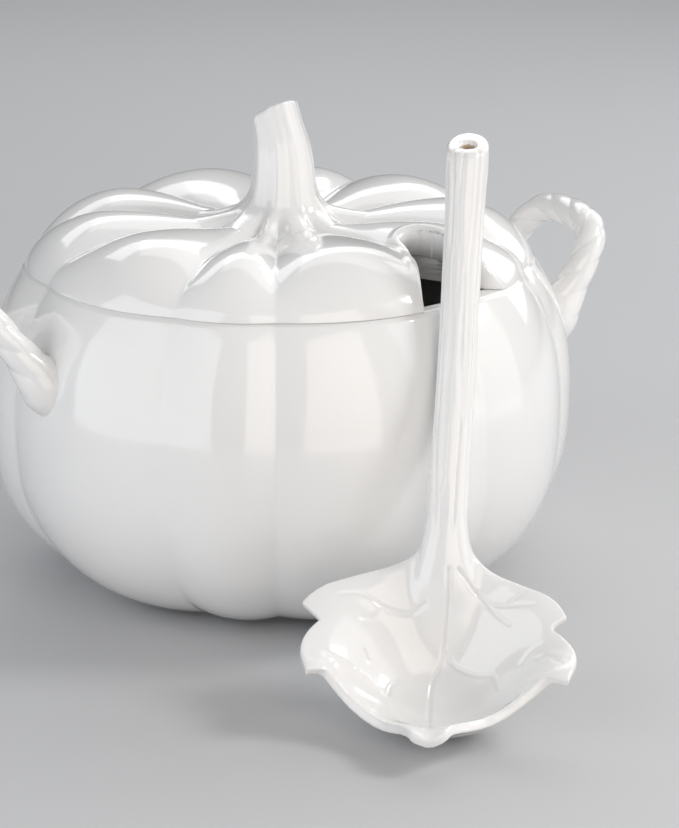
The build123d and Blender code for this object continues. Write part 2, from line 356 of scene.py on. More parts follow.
def lid_under_rows(headings, rim_radii, cut, wall_top):
    """Rings of the lid's edge, landing, locating flange and underside, held back where the notch is."""
    rim = np.minimum(cut, rim_radii)
    at_rim = cut > rim_radii - 0.01
    under = [(rim_radii - 0.5, LID_Z + 0.25), (rim_radii - 1.2, LID_Z), (FLANGE_OUTER + 1, LID_Z),
             (FLANGE_OUTER, LID_Z - 0.5), (FLANGE_OUTER, FLANGE_LOW_Z + 1),
             (FLANGE_OUTER - 0.6, FLANGE_LOW_Z), (FLANGE_INNER + 0.6, FLANGE_LOW_Z),
             (FLANGE_INNER, FLANGE_LOW_Z + 1), (FLANGE_INNER, LID_Z + 4)]
    for radius in (110.0, 106.0, 100.0, 92.0, 80.0, 66.0, 50.0, 34.0, 18.0):
        under.append((radius, float(dome_z(radius))))
    floor_at_rim = np.where(rim < FLANGE_INNER, dome_z(rim), FLANGE_LOW_Z)
    rows = []
    for radius, z in under:
        radius = np.broadcast_to(radius, rim.shape)
        held = np.minimum(radius, rim)
        z = np.where(radius > rim, np.maximum(z, floor_at_rim), z)
        inside = np.where(radius >= FLANGE_INNER - 0.1, dome_z(rim), dome_z(held))
        z = np.where(rim < FLANGE_INNER, inside, z)
        rows.append(around(held, headings, np.minimum(z, np.where(at_rim, 999.0, wall_top - 1.5))))
    return rows


def finish_lid(lid):
    """Rounds the notch's edge, raises its lip and adds the slow ripple to the lid's outside."""
    points = coords(lid)
    reach = np.hypot(points[:, 0], points[:, 1])
    on_top = points[:, 2] > np.where(reach > 100, LID_Z + 0.05, dome_z(reach) + 3)
    distance = notch_distance(points)
    inward = 1 - np.clip(distance / NOTCH_ROUND, 0, 1)
    drop = NOTCH_ROUND * (1 - np.sqrt(np.clip(1 - inward**2, 0, 1)))
    lip = NOTCH_LIP * np.exp(-(((distance - 3.2) / 2.4) ** 2)) * smooth((118 - reach) / 16)
    points[:, 2] += np.where(on_top, lip - drop * smooth((points[:, 2] - LID_Z) / 6), 0)
    fade = smooth((points[:, 2] - LID_Z - 1) / 8) * on_top
    points += normals(lid) * (ripple(points + 300, *LID_RIPPLE) * fade)[:, None]
    set_coords(lid, points)


def make_lid():
    """Lobed lid: top, rounded edge, landing, locating flange and underside; the notch cuts it back."""
    notch_headings = NOTCH_HEADING + np.concatenate([np.arange(-16, 16, 0.1), notch_line()[0]])
    headings = np.concatenate([np.arange(0, 360, HEADING_STEP), notch_headings])
    headings = np.unique(np.round(headings, 3))
    cut = notch_radius(headings)
    rows, rim_radii = lid_top_rows(headings, lobe_swell(headings), cut)
    rows += lid_under_rows(headings, rim_radii, cut, rows[-1][:, 2])
    lid = closed_rows("lid_glazed", rows)
    finish_lid(lid)
    return lid


def lid_height(points):
    """Height of the lid's outside over plan points near its middle."""
    radius = np.hypot(points[:, 0], points[:, 1])
    headings = np.degrees(np.arctan2(points[:, 0], -points[:, 1]))
    swell = lobe_swell(headings)
    numbers = np.linspace(5, 9, 60)
    table_r, table_z = lid_top(numbers[:, None], np.broadcast_to(swell, (60, len(swell))))
    height = [np.interp(radius[i], table_r[::-1, i], table_z[::-1, i]) for i in range(len(radius))]
    height = np.array(height)
    inner = np.clip(radius / 24, 0, 1)
    return np.where(radius < 24, height * inner + (LID_Z + LID_HUB) * (1 - inner), height)


# --- stem -----------------------------------------------------------------------------------
STEM_LEAN = 114.0
# rise above the foot, shift along the lean, radius
STEM_SECTIONS = np.array([(0.0, 2.0, 35.5), (1.0, 2.2, 31.5), (3.5, 2.6, 26.5), (8.5, 3.2, 21.5),
                          (15.0, 3.5, 18.0), (24.0, 3.6, 16.0), (34.0, 3.5, 14.9), (44.0, 2.2, 13.6),
                          (54.0, -0.9, 12.5), (70.0, -6.3, 12.0)])
STEM_HUB, STEM_SETTLE = 15.5, 13.0
STEM_TOP = 75.5
STEM_CUT_HEADING, STEM_CUT_SLOPE = 24.0, 27.0
STEM_COLUMNS = 360
STEM_EDGE = 2.2
# heading, width and size of each swelling of the stem's foot
STEM_TOES = [(-103.0, 30.0, 0.42), (-48.0, 16.0, 0.10), (62.0, 22.0, 0.30), (-8.0, 13.0, 0.12),
             (28.0, 15.0, -0.10), (150.0, 26.0, 0.22)]
STEM_RIDGES = 7


def stem_rows():
    """Rings of the stem from its foot on the lobes to well past the cut."""
    turn = np.linspace(-180, 180, STEM_COLUMNS, endpoint=False)
    angle = np.radians(turn)
    lean = around(1.0, STEM_LEAN, 0.0)[:2]
    rows = []
    for number in np.linspace(0, len(STEM_SECTIONS) - 1, 160):
        rise, shift, radius = spline(STEM_SECTIONS, number)
        flare = 1 - smooth(rise / 17.0)
        twist = 0.008 * rise
        ridges = np.abs(np.sin(STEM_RIDGES / 2 * angle + twist)) ** 0.8 - 0.7
        ridges += 0.4 * np.sin(9 * angle + 1.0 + 2 * twist) + 0.2 * np.sin(17 * angle + 0.4)
        toes = 0.0
        for heading, width, size in STEM_TOES:
            toes = toes + size * np.exp(-(((turn - heading + 180) % 360 - 180) / width) ** 2)
        reach = radius * (1 + ridges * (0.035 + 0.06 * flare) + flare * toes)
        plan = lean * shift + np.stack([reach * np.sin(angle), -reach * np.cos(angle)], -1)
        settle = smooth(rise / STEM_SETTLE)
        z = lid_height(plan) * (1 - settle) + (LID_Z + STEM_HUB) * settle + rise - 0.4
        rows.append(np.column_stack([plan, z]))
    return np.array(rows)


def stem_limit(points):
    """Height of the slanted cut over plan points."""
    towards = around(1.0, STEM_CUT_HEADING, 0.0)[:2]
    return LID_Z + STEM_TOP + math.tan(math.radians(STEM_CUT_SLOPE)) * (points[..., :2] @ towards)


def make_stem():
    """Ridged stem that leans, flares onto the lid's lobes and ends in a slanted cut with a soft edge."""
    rows = stem_rows()
    over = rows[..., 2] - stem_limit(rows) + STEM_EDGE
    numbers = np.arange(len(rows))
    last = np.array([np.interp(0.0, over[:, c], numbers) for c in range(STEM_COLUMNS)])
    rings = [rows[0] * (0.8, 0.8, 1) - (0, 0, 2.5)]
    for share in np.linspace(0, 1, 130):
        place = last * share
        low = np.clip(place.astype(int), 0, len(rows) - 2)
        part = (place - low)[:, None]
        columns = np.arange(STEM_COLUMNS)
        rings.append(rows[low, columns] * (1 - part) + rows[low + 1, columns] * part)
    rim = rings[-1]
    middle = rim.mean(0)
    inward = (middle - rim) / np.linalg.norm((middle - rim)[:, :2], axis=1)[:, None]
    for turn in np.radians([20, 40, 60, 80, 90]):
        ring = rim + inward * STEM_EDGE * (1 - math.cos(turn))
        ring[:, 2] = stem_limit(ring) - STEM_EDGE * (1 - math.sin(turn))
        rings.append(ring)
    edge = rings[-1]
    for share in (0.9, 0.7, 0.45, 0.2):
        ring = middle + (edge - middle) * share
        ring[:, 2] = stem_limit(ring) - 0.8 * (1 - share**2)
        rings.append(ring)
    return closed_rows("lid_stem_glazed", rings)


# --- side handles ---------------------------------------------------------------------------
LOOP_ROOT = (141.87, 129.5)
LOOP_TILT = 55.0
# along the bowl, out of the bowl, radius
LOOP_PATH = np.array([(38.5, -15.0, 10.5), (38.5, -6.0, 12.4), (38.3, 3.0, 11.2), (37.8, 12.5, 8.8),
                      (36.4, 25.5, 7.5), (33.8, 35.0, 7.4), (29.6, 42.5, 7.4), (22.5, 47.5, 7.6),
                      (12.0, 49.8, 7.7), (0.0, 50.3, 7.7)])
STRANDS = 3
TWIST_PITCH = 46.0
CREASE, CREASE_SHARPNESS, CREASE_MEAN = 0.9, 0.7, 0.72


def make_loop(side):
    """Loop handle of twisted vine strands, tilted up, with swollen roots on the bowl."""
    path = np.concatenate([LOOP_PATH, (LOOP_PATH * (-1, 1, 1))[-2::-1]])
    numbers = np.linspace(0, len(path) - 1, 260)
    stations = spline(path, numbers)
    tilt = math.radians(LOOP_TILT)
    outward = np.array([side * math.cos(tilt), 0.0, math.sin(tilt)])
    along = np.array([0.0, 1.0, 0.0])
    root = np.array([side * LOOP_ROOT[0], 0.0, LOOP_ROOT[1]])
    centres = root + stations[:, :1] * along + stations[:, 1:2] * outward
    tangent = np.gradient(centres, axis=0)
    tangent /= np.linalg.norm(tangent, axis=1)[:, None]
    flat = np.cross(outward, along)
    other = np.cross(tangent, flat)
    length = np.concatenate([[0], np.cumsum(np.linalg.norm(np.diff(centres, axis=0), axis=1))])
    angle = np.linspace(0, 2 * math.pi, 96, endpoint=False)
    rows = []
    for i, centre in enumerate(centres):
        turn = 2 * math.pi * (length[i] + 5 * math.sin(length[i] / 31.0)) / TWIST_PITCH * side
        phase = STRANDS / 2 * (angle - turn)
        strand = np.abs(np.cos(phase)) ** CREASE_SHARPNESS
        ends = min(length[i], length[-1] - length[i])
        depth = CREASE * float(smooth((ends - 6) / 16.0)) * (0.8 + 0.2 * math.sin(length[i] / 17.0))
        uneven = 0.25 * np.sin(2 * angle + length[i] / 23.0)
        radius = stations[i, 2] + depth * (strand - CREASE_MEAN) + uneven
        rim = np.cos(angle)[:, None] * flat + np.sin(angle)[:, None] * other[i]
        rows.append(centre + radius[:, None] * rim)
    name = "handle_right_glazed" if side > 0 else "handle_left_glazed"
    return closed_rows(name, rows)


# --- ladle ----------------------------------------------------------------------------------
LADLE_TILT = 26.9
LADLE_HEADING = 32.2
LADLE_PLACE = (-25.1, -223.4)
LEAF_DEPTH, LEAF_WALL = 33.0, 4.5
LEAF_HALF_WIDTH, LEAF_HALF_BACK, LEAF_HALF_FRONT = 50.0, 46.0, 37.0
DISH_SHARPNESS, DISH_POWER = 1.22, 3.2
NECK_START, NECK_RISE = 36.0, 0.014
OUTLINE_RIGHT = [
    [(10.0, 66.0), (13.0, 57.5), (22.5, 50.0), (38.5, 43.0), (50.5, 36.5), (56.5, 28.0)],
    [(49.5, 23.0), (56.5, 16.0), (61.5, 4.0), (58.5, -12.0)],
    [(49.0, -8.0), (40.0, -14.0), (29.0, -20.5), (20.0, -27.0), (12.0, -34.5), (6.0, -43.5),
     (0.0, -46.8)]]
OUTLINE_LEFT = [
    [(10.0, 66.0), (13.0, 57.5), (23.5, 51.5), (42.0, 44.5), (56.0, 38.0), (63.5, 28.5)],
    [(54.0, 20.5), (58.5, 14.5), (61.2, 4.0), (57.0, -10.5)],
    [(48.5, -7.5), (40.0, -14.5), (29.0, -23.5), (20.0, -31.0), (12.0, -37.5), (6.0, -44.0),
     (0.0, -46.8)]]
# place across the leaf and lift of its front rim
RIM_LIFT = [(-80.0, 0.0), (-60.0, 1.0), (-45.0, 3.0), (-36.0, 0.5), (-24.0, -2.0), (-15.0, 0.6),
            (-8.0, 2.0), (0.0, 0.8), (7.0, 3.8), (13.0, 5.2), (21.0, 7.6), (32.0, 10.0), (40.0, 8.2),
            (49.0, 5.6), (62.0, 3.0), (80.0, 0.0)]
HANDLE_SLOPE, HANDLE_START = 34.0, 44.0
# distance along the axis, half width, half height
HANDLE_SECTIONS = [(14.0, 11.4, 6.2), (25.0, 10.2, 7.6), (45.0, 9.3, 8.3), (80.0, 9.0, 8.6),
                   (110.0, 8.9, 8.8), (140.0, 8.9, 8.9), (170.0, 9.1, 9.1), (190.0, 9.8, 9.8),
                   (205.0, 10.2, 10.0), (222.0, 10.2, 10.0)]
# place along the leaf, top over its inner surface, half width, half height
NECK_SECTIONS = [(17.0, -0.9, 26.0, 1.6), (22.0, -0.2, 25.0, 2.0), (28.0, 1.0, 22.0, 2.8),
                 (34.0, 2.8, 19.0, 3.6), (40.0, 5.0, 16.0, 4.2), (46.0, 7.6, 13.5, 4.8)]
HANDLE_SWAY, SWAY_FROM, SWAY_OVER = 1.3, 30.0, 80.0
END_AT, END_LEAN = 208.0, 14.4
VENT_RADIUS, VENT_FORWARD, VENT_DEPTH = 3.1, 2.6, 15.0
JOINT_AT = 30.0
LADLE_VOXEL = 0.62
SHEET_COLUMNS, SHEET_RINGS = 480, 46


def ladle_axis():
    """Start and direction of the ladle handle's centre line in the ladle's own frame."""
    slope = math.radians(HANDLE_SLOPE)
    return np.array([0.0, HANDLE_START, 0.0]), np.array([0.0, math.cos(slope), math.sin(slope)])


def leaf_height(u, v):
    """Height of the scoop's inner surface: a rounded dish, a rising neck and a waved, lifted front rim."""
    half_length = np.where(v > 0, LEAF_HALF_BACK, LEAF_HALF_FRONT)
    reach = np.hypot(u / LEAF_HALF_WIDTH, v / half_length)
    dish = -LEAF_DEPTH * np.exp(-((reach * DISH_SHARPNESS) ** DISH_POWER))
    neck = NECK_RISE * np.clip(v - NECK_START, 0, None) ** 2
    around_leaf = np.arctan2(v, u)
    wave = np.cos(5 * around_leaf + 1.2) + 0.6 * np.cos(9 * around_leaf + 0.4)
    rim = 1.2 * smooth((reach - 0.62) / 0.5) * wave * smooth((50 - v) / 14) * smooth((v + 4) / 12)
    lifts = spline(RIM_LIFT, np.linspace(0, len(RIM_LIFT) - 1, 300))
    lift = np.interp(u, lifts[:, 0], lifts[:, 1]) * smooth((reach - 0.6) / 0.5) * smooth((6 - v) / 12)
    return dish + neck + rim + lift


def leaf_side(parts):
    """One half of the leaf's outline, from the neck round to the tip."""
    return np.concatenate([spline(part, np.linspace(0, len(part) - 1, 60)) for part in parts])


def leaf_outline():
    """Lobed outline of the leaf, seen along w, as a closed ring of evenly spaced points."""
    left = leaf_side(OUTLINE_LEFT) * (-1, 1)
    ring = np.concatenate([leaf_side(OUTLINE_RIGHT), left[::-1][1:]])
    step = np.linalg.norm(np.diff(ring, axis=0, append=ring[:1]), axis=1)
    length = np.concatenate([[0], np.cumsum(step)])
    where = np.linspace(0, length[-1], SHEET_COLUMNS, endpoint=False)
    loop = np.vstack([ring, ring[:1]])
    return np.stack([np.interp(where, length, loop[:, k]) for k in (0, 1)], -1)


def leaf_normal(u, v):
    """Unit normal of the scoop's inner surface."""
    small = 0.5
    slope_u = (leaf_height(u + small, v) - leaf_height(u - small, v)) / (2 * small)
    slope_v = (leaf_height(u, v + small) - leaf_height(u, v - small)) / (2 * small)
    normal = np.stack([-slope_u, -slope_v, np.ones(len(u))], -1)
    return normal / np.linalg.norm(normal, axis=1)[:, None]


def leaf_sheet():
    """Closed mesh of the dished leaf, before its rim is softened."""
    ring = leaf_outline()
    centre = np.array([0.0, 6.0])
    tops, bottoms = [], []
    for share in np.linspace(0.03, 1.0, SHEET_RINGS):
        u, v = (centre + (ring - centre) * share).T
        top = np.column_stack([u, v, leaf_height(u, v)])
        tops.append(top)
        bottoms.append(top - leaf_normal(u, v) * LEAF_WALL)
    return closed_rows("ladle_sheet", tops + bottoms[::-1])


def handle_tube():
    """Closed mesh of the ladle's handle and of the neck that fades into the leaf, before any carving."""
    start, axis = ladle_axis()
    stations = []
    for v, above, half_width, half_height in NECK_SECTIONS:
        w = float(leaf_height(0.0, v)) + above - half_height
        stations.append((0.0, v, w, half_width, half_height))
    for distance, half_width, half_height in HANDLE_SECTIONS:
        sway = HANDLE_SWAY * float(smooth((distance - SWAY_FROM) / SWAY_OVER))
        stations.append((sway, *(start + axis * distance)[1:], half_width, half_height))
    stations = spline(stations, np.linspace(0, len(stations) - 1, 220))
    tangent = np.gradient(stations[:, :3], axis=0)
    tangent /= np.linalg.norm(tangent, axis=1)[:, None]
    side = np.array([1.0, 0.0, 0.0])
    angle = np.linspace(0, 2 * math.pi, 72, endpoint=False)
    rows = []
    for station, along in zip(stations, tangent):
        across = np.cos(angle)[:, None] * station[3] * side
        rows.append(station[:3] + across + np.sin(angle)[:, None] * station[4] * np.cross(side, along))
    return closed_rows("ladle_tube", rows)


def end_frame():
    """Middle of the slanted end of the handle, the way it faces, and the way towards its lower edge."""
    start, axis = ladle_axis()
    lean = math.radians(END_LEAN)
    middle = start + axis * END_AT + (HANDLE_SWAY, 0.0, 0.0)
    facing = np.array([0.0, math.sin(lean), math.cos(lean)])
    forward = np.array([0.0, -math.cos(lean), math.sin(lean)])
    return middle, facing, forward


def plug(name, begin, direction, stations):
    """Closed round plug with stations of distance and radius along a direction in the middle plane."""
    side = np.array([1.0, 0.0, 0.0])
    up = np.cross(side, direction)
    angle = np.linspace(0, 2 * math.pi, 48, endpoint=False)
    rim = np.cos(angle)[:, None] * side + np.sin(angle)[:, None] * up
    rows = [begin + direction * distance + radius * rim for distance, radius in stations]
    return closed_rows(name, rows)


def end_cutters():
    """Plugs that cut the handle's slanted end and the vent hole in it, with the hole's place and way."""
    middle, facing, forward = end_frame()
    hole = middle + forward * VENT_FORWARD
    end = plug("end_cutter", middle, facing, [(0.0, 40.0), (40.0, 40.0)])
    stations = [(-VENT_DEPTH, 2.2), (-6.0, VENT_RADIUS), (-2.0, VENT_RADIUS + 0.2),
                (0.0, VENT_RADIUS + 1.4), (6.0, VENT_RADIUS + 3.0)]
    vent = plug("vent_cutter", hole, facing, stations)
    return end, vent, hole, facing


# centre line on the leaf and strength of each vein
VEINS = [
    ([(2.5, 46.0), (2.5, 36.0), (1.5, 26.0), (0.5, 20.0), (-2.5, 14.0), (-4.0, 5.0), (-3.5, -9.0),
      (-3.0, -20.0)], 1.0),
    ([(7.0, 46.5), (14.0, 42.5), (19.5, 38.5), (24.0, 34.0), (30.5, 28.5)], 0.95),
    ([(20.5, 38.0), (28.5, 36.0), (41.0, 34.5)], 0.75),
    ([(29.0, 36.0), (37.0, 41.0)], 0.6),
    ([(-8.0, 37.0), (-16.0, 34.0), (-23.0, 33.5), (-28.0, 34.0), (-36.5, 36.5), (-47.0, 35.0)], 0.85),
    ([(-27.0, 33.5), (-30.5, 29.5), (-36.0, 27.0)], 0.6),
    ([(2.0, 23.5), (5.5, 19.0), (12.0, 15.5), (19.0, 13.0), (24.0, 11.0), (26.5, 4.0)], 0.85),
    ([(36.5, 10.5), (41.0, 14.5), (46.0, 16.0)], 0.7),
    ([(43.5, 9.5), (49.0, 8.5), (55.0, 0.0)], 0.6),
    ([(50.0, 7.5), (54.0, 5.0)], 0.5),
    ([(-22.5, 0.0), (-22.0, 5.0), (-19.0, 8.0)], 0.6),
    ([(-34.0, 14.0), (-32.5, 11.0)], 0.5),
]
VEIN_DEPTH, VEIN_WIDTH = 1.25, 0.95
# angle round the handle in radians, first and last distance along it, and strength of each groove
BARK = [
    (-1.55, 40.0, 205.0, 0.9), (-1.05, 60.0, 200.0, 0.8), (-0.72, 20.0, 120.0, 0.75),
    (-0.55, 150.0, 207.0, 0.8), (-0.22, 36.0, 190.0, 0.8), (0.1, 120.0, 206.0, 0.7),
    (0.42, 18.0, 150.0, 0.9), (0.72, 70.0, 206.0, 0.7), (1.15, 26.0, 180.0, 0.8),
    (1.6, 60.0, 207.0, 0.8), (2.1, 30.0, 160.0, 0.8), (2.6, 80.0, 205.0, 0.8),
    (3.1, 24.0, 200.0, 0.8), (3.6, 50.0, 140.0, 0.8), (4.1, 30.0, 205.0, 0.8),
]
BARK_DEPTH, BARK_WIDTH, BARK_RIDGE = 0.75, 0.75, 0.22


def line_distance(points, corners):
    """Distance of plan points from a smooth line through corners, and the share of its length there."""
    line = spline(corners, np.linspace(0, len(corners) - 1, 16 * len(corners)))
    gaps = np.sqrt(((points[:, None] - line[None]) ** 2).sum(-1))
    nearest = gaps.argmin(1)
    return gaps[np.arange(len(points)), nearest], nearest / (len(line) - 1)


def vein_sink(points, facing):
    """Depth of the leaf veins at points on the scoop's inside."""
    sink = np.zeros(len(points))
    leaf = (facing[:, 2] > 0.12) & (points[:, 1] < 62)
    for corners, strength in VEINS:
        distance, share = line_distance(points[leaf, :2], corners)
        depth = VEIN_DEPTH * strength * (1 - 0.45 * share)
        sink[leaf] = np.maximum(sink[leaf], depth * np.exp(-((distance / VEIN_WIDTH) ** 2)))
    return sink


def bark_sink(points):
    """Depth of the bark grooves, less the ridges beside them, at points on the handle."""
    start, axis = ladle_axis()
    offset = points - start
    distance = offset @ axis
    radial = offset - distance[:, None] * axis
    angle = np.arctan2(radial[:, 0], radial @ np.cross(np.array([1.0, 0.0, 0.0]), axis))
    reach = np.linalg.norm(radial, axis=1)
    on_handle = (distance > 14) & (reach < 16) & (reach > 4)
    sink = np.zeros(len(points))
    for number, (heading, low, high, strength) in enumerate(BARK):
        wander = 0.10 * np.sin(distance / 31.0 + number) + 0.03 * np.sin(distance / 9.0 + 2 * number)
        place = heading + wander
        away = np.abs((angle - place + math.pi) % (2 * math.pi) - math.pi) * reach
        run = strength * smooth((distance - low) / 12) * smooth((high - distance) / 10)
        groove = BARK_DEPTH * run * np.exp(-((away / BARK_WIDTH) ** 2))
        ridge = BARK_RIDGE * run * np.exp(-(((away - 2.0) / 1.2) ** 2))
        sink += np.where(on_handle, groove - ridge, 0)
    return sink


def carve_ladle(ladle):
    """Cuts the leaf veins into the scoop's inside and the bark grooves into the handle."""
    points, facing = coords(ladle), normals(ladle)
    sink = vein_sink(points, facing) + bark_sink(points)
    set_coords(ladle, points - facing * sink[:, None])


def ladle_matrix(lowest):
    """Places the ladle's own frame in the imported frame, raised by lowest in metres."""
    heading = Matrix.Rotation(math.radians(-LADLE_HEADING), 4, "Z")
    tilt = Matrix.Rotation(math.radians(LADLE_TILT), 4, "X")
    return Matrix.Translation((LADLE_PLACE[0] * MM, LADLE_PLACE[1] * MM, lowest)) @ heading @ tilt


def boolean(piece, tool, operation):
    """Applies one boolean and throws the tool away."""
    cut = piece.modifiers.new("cut", "BOOLEAN")
    cut.operation, cut.solver, cut.object = operation, "EXACT", tool
    apply(piece)
    bpy.data.objects.remove(tool)


def remesh(piece):
    """Rebuilds a piece as one even skin."""
    skin = piece.modifiers.new("skin", "REMESH")
    skin.mode, skin.voxel_size, skin.use_smooth_shade = "VOXEL", LADLE_VOXEL * MM, True
    apply(piece)


def ease(piece, weight, iterations):
    """Relaxes a piece where weight, one number for each point, is over 0."""
    group = piece.vertex_groups.new(name="ease")
    for index in np.nonzero(weight > 0.01)[0]:
        group.add([int(index)], float(weight[index]), "REPLACE")
    relax = piece.modifiers.new("ease", "SMOOTH")
    relax.factor, relax.iterations, relax.vertex_group = 0.5, iterations, "ease"
    apply(piece)
    piece.vertex_groups.clear()


def neck_weight(points):
    """1 over the neck between leaf and handle, fading to 0 around it."""
    across = smooth((34 - np.abs(points[:, 0])) / 12)
    return across * smooth((points[:, 1] - 14) / 10) * smooth((84 - points[:, 1]) / 14)


def make_ladle():
    """Whole ladle as one casting: leaf and handle run together, then veins and bark are cut."""
    sheet, tube = leaf_sheet(), handle_tube()
    end, vent, hole, facing = end_cutters()
    boolean(tube, end, "DIFFERENCE")
    remesh(tube)
    from_end = np.linalg.norm(coords(tube) - end_frame()[0], axis=1)
    ease(tube, smooth((18 - from_end) / 4), 45)
    boolean(tube, vent, "DIFFERENCE")
    boolean(sheet, tube, "UNION")
    remesh(sheet)
    ease(sheet, np.ones(len(sheet.data.vertices)), 12)
    ease(sheet, neck_weight(coords(sheet)), 170)
    carve_ladle(sheet)
    ease(sheet, np.ones(len(sheet.data.vertices)), 1)
    turned = coords(sheet) * MM @ np.array(ladle_matrix(0.0).to_3x3()).T
    place = ladle_matrix(-float(turned[:, 2].min()))
    sheet.data.transform(place)
    sheet.data.update()
    sheet.name = sheet.data.name = "ladle_glazed"
    return sheet, place @ Vector(hole * MM), (place.to_3x3() @ Vector(facing)).normalized(), place


def split_piece(whole, origin, direction, far_name, near_name):
    """Cuts a piece in two at a plane, closes both cuts and keeps the whole's shading at the joint."""
    halves = []
    for name, outer, inner in ((far_name, False, True), (near_name, True, False)):
        half = whole.copy()
        half.data = whole.data.copy()
        half.name = half.data.name = name
        bpy.context.scene.collection.objects.link(half)
        work = bmesh.new()
        work.from_mesh(half.data)
        everything = work.verts[:] + work.edges[:] + work.faces[:]
        cut = bmesh.ops.bisect_plane(work, geom=everything, plane_co=origin, plane_no=direction,
                                     clear_outer=outer, clear_inner=inner)
        rim = [e for e in cut["geom_cut"] if isinstance(e, bmesh.types.BMEdge)]
        bmesh.ops.holes_fill(work, edges=rim, sides=0)
        work.to_mesh(half.data)
        work.free()
        keep = half.modifiers.new("shading", "DATA_TRANSFER")
        keep.object = whole
        keep.use_loop_data = True
        keep.data_types_loops = {"CUSTOM_NORMAL"}
        keep.loop_mapping = "POLYINTERP_NEAREST"
        apply(half)
        halves.append(half)
    bpy.data.objects.remove(whole)
    return halves


# --- materials --------------------------------------------------------------------------------

def node_material(name):
    """New node material; returns it with a helper that adds nodes."""
    material = bpy.data.materials.new(name)
    material.use_nodes = True
    tree = material.node_tree
    tree.nodes.clear()

    def add(kind, **settings):
        node = tree.nodes.new(kind)
        for key, value in settings.items():
            if key in node.inputs:
                node.inputs[key].default_value = value
            else:
                setattr(node, key, value)
        return node

    return material, tree, add


def glaze(name, pool_scale, seed):
    """Glossy white glaze: faint tint changes, orange-peel and slow waves."""
    material, tree, add = node_material(name)
    link = tree.links.new
    place = add("ShaderNodeTexCoord")
    shift = add("ShaderNodeMapping")
    shift.inputs["Location"].default_value = (seed, seed * 0.7, seed * 0.3)
    link(place.outputs["Object"], shift.inputs["Vector"])
    clouds = add("ShaderNodeTexNoise", Scale=pool_scale, Detail=4.0, Roughness=0.55)
    link(shift.outputs["Vector"], clouds.inputs["Vector"])
    tint = add("ShaderNodeValToRGB")
    tint.color_ramp.elements[0].position = 0.3
    tint.color_ramp.elements[0].color = (0.865, 0.859, 0.848, 1)
    tint.color_ramp.elements[1].position = 0.7
    tint.color_ramp.elements[1].color = (0.895, 0.895, 0.892, 1)
    link(clouds.outputs["Fac"], tint.inputs["Fac"])
    specks = add("ShaderNodeTexNoise", Scale=900.0, Detail=1.0, Roughness=0.4)
    link(shift.outputs["Vector"], specks.inputs["Vector"])
    fleck = add("ShaderNodeValToRGB")
    fleck.color_ramp.elements[0].position = 0.74
    fleck.color_ramp.elements[0].color = (1, 1, 1, 1)
    fleck.color_ramp.elements[1].position = 0.8
    fleck.color_ramp.elements[1].color = (0.93, 0.91, 0.87, 1)
    link(specks.outputs["Fac"], fleck.inputs["Fac"])
    colour = add("ShaderNodeMix", data_type="RGBA", blend_type="MULTIPLY")
    colour.inputs[0].default_value = 0.6
    link(tint.outputs["Color"], colour.inputs[6])
    link(fleck.outputs["Color"], colour.inputs[7])
    gloss_noise = add("ShaderNodeTexNoise", Scale=38.0, Detail=3.0)
    link(shift.outputs["Vector"], gloss_noise.inputs["Vector"])
    gloss = add("ShaderNodeMapRange")
    gloss.inputs["To Min"].default_value = 0.10
    gloss.inputs["To Max"].default_value = 0.17
    link(gloss_noise.outputs["Fac"], gloss.inputs["Value"])
    peel = add("ShaderNodeTexNoise", Scale=420.0, Detail=2.0, Roughness=0.5)
    link(shift.outputs["Vector"], peel.inputs["Vector"])
    fine = add("ShaderNodeBump", Strength=0.05, Distance=0.0004)
    link(peel.outputs["Fac"], fine.inputs["Height"])
    wave = add("ShaderNodeTexNoise", Scale=26.0, Detail=2.0, Roughness=0.4)
    link(shift.outputs["Vector"], wave.inputs["Vector"])
    slow = add("ShaderNodeBump", Strength=0.35, Distance=0.0012)
    link(wave.outputs["Fac"], slow.inputs["Height"])
    link(fine.outputs["Normal"], slow.inputs["Normal"])
    shader = add("ShaderNodeBsdfPrincipled")
    shader.inputs["IOR"].default_value = 1.5
    shader.inputs["Coat Weight"].default_value = 0.8
    shader.inputs["Coat Roughness"].default_value = 0.05
    shader.inputs["Coat IOR"].default_value = 1.5
    shader.inputs["Subsurface Weight"].default_value = 0.08
    shader.inputs["Subsurface Radius"].default_value = (0.004, 0.0035, 0.003)
    shader.inputs["Subsurface Scale"].default_value = 1.0
    link(colour.outputs[2], shader.inputs["Base Color"])
    link(gloss.outputs["Result"], shader.inputs["Roughness"])
    link(slow.outputs["Normal"], shader.inputs["Normal"])
    out = add("ShaderNodeOutputMaterial")
    link(shader.outputs["BSDF"], out.inputs["Surface"])
    return material


